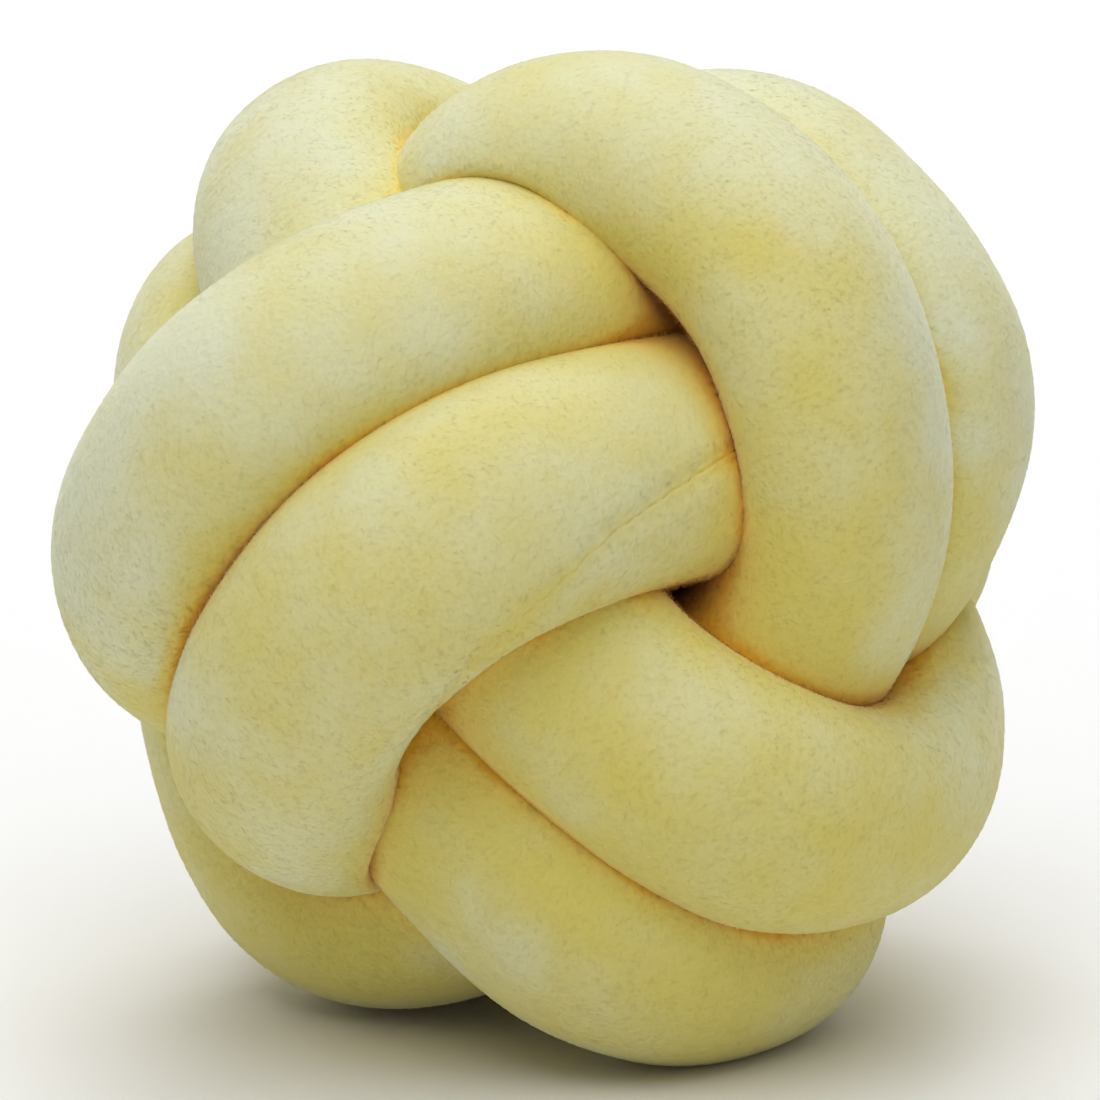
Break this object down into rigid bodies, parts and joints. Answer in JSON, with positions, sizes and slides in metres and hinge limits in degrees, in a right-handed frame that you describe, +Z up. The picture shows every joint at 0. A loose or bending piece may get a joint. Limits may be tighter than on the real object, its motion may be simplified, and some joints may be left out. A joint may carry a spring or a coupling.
{
  "type": "knot cushion",
  "caption": "Ball-shaped cushion tied from one long stuffed plush tube, with rounded turns that cross over and under each other.",
  "frame": {"origin": "on the surface that the ball stands on, under the middle of its box", "axes": "+Z up, -Y towards the side that the picture shows, +X to its right"},
  "size_m": [0.2588, 0.2656, 0.2658],
  "materials": {
    "plush": "pale yellow short-pile plush, matt, with a soft sheen where the pile turns at the edges"
  },
  "bodies": {
    "root": {"knot_tube": "plush"}
  },
  "joints": []
}
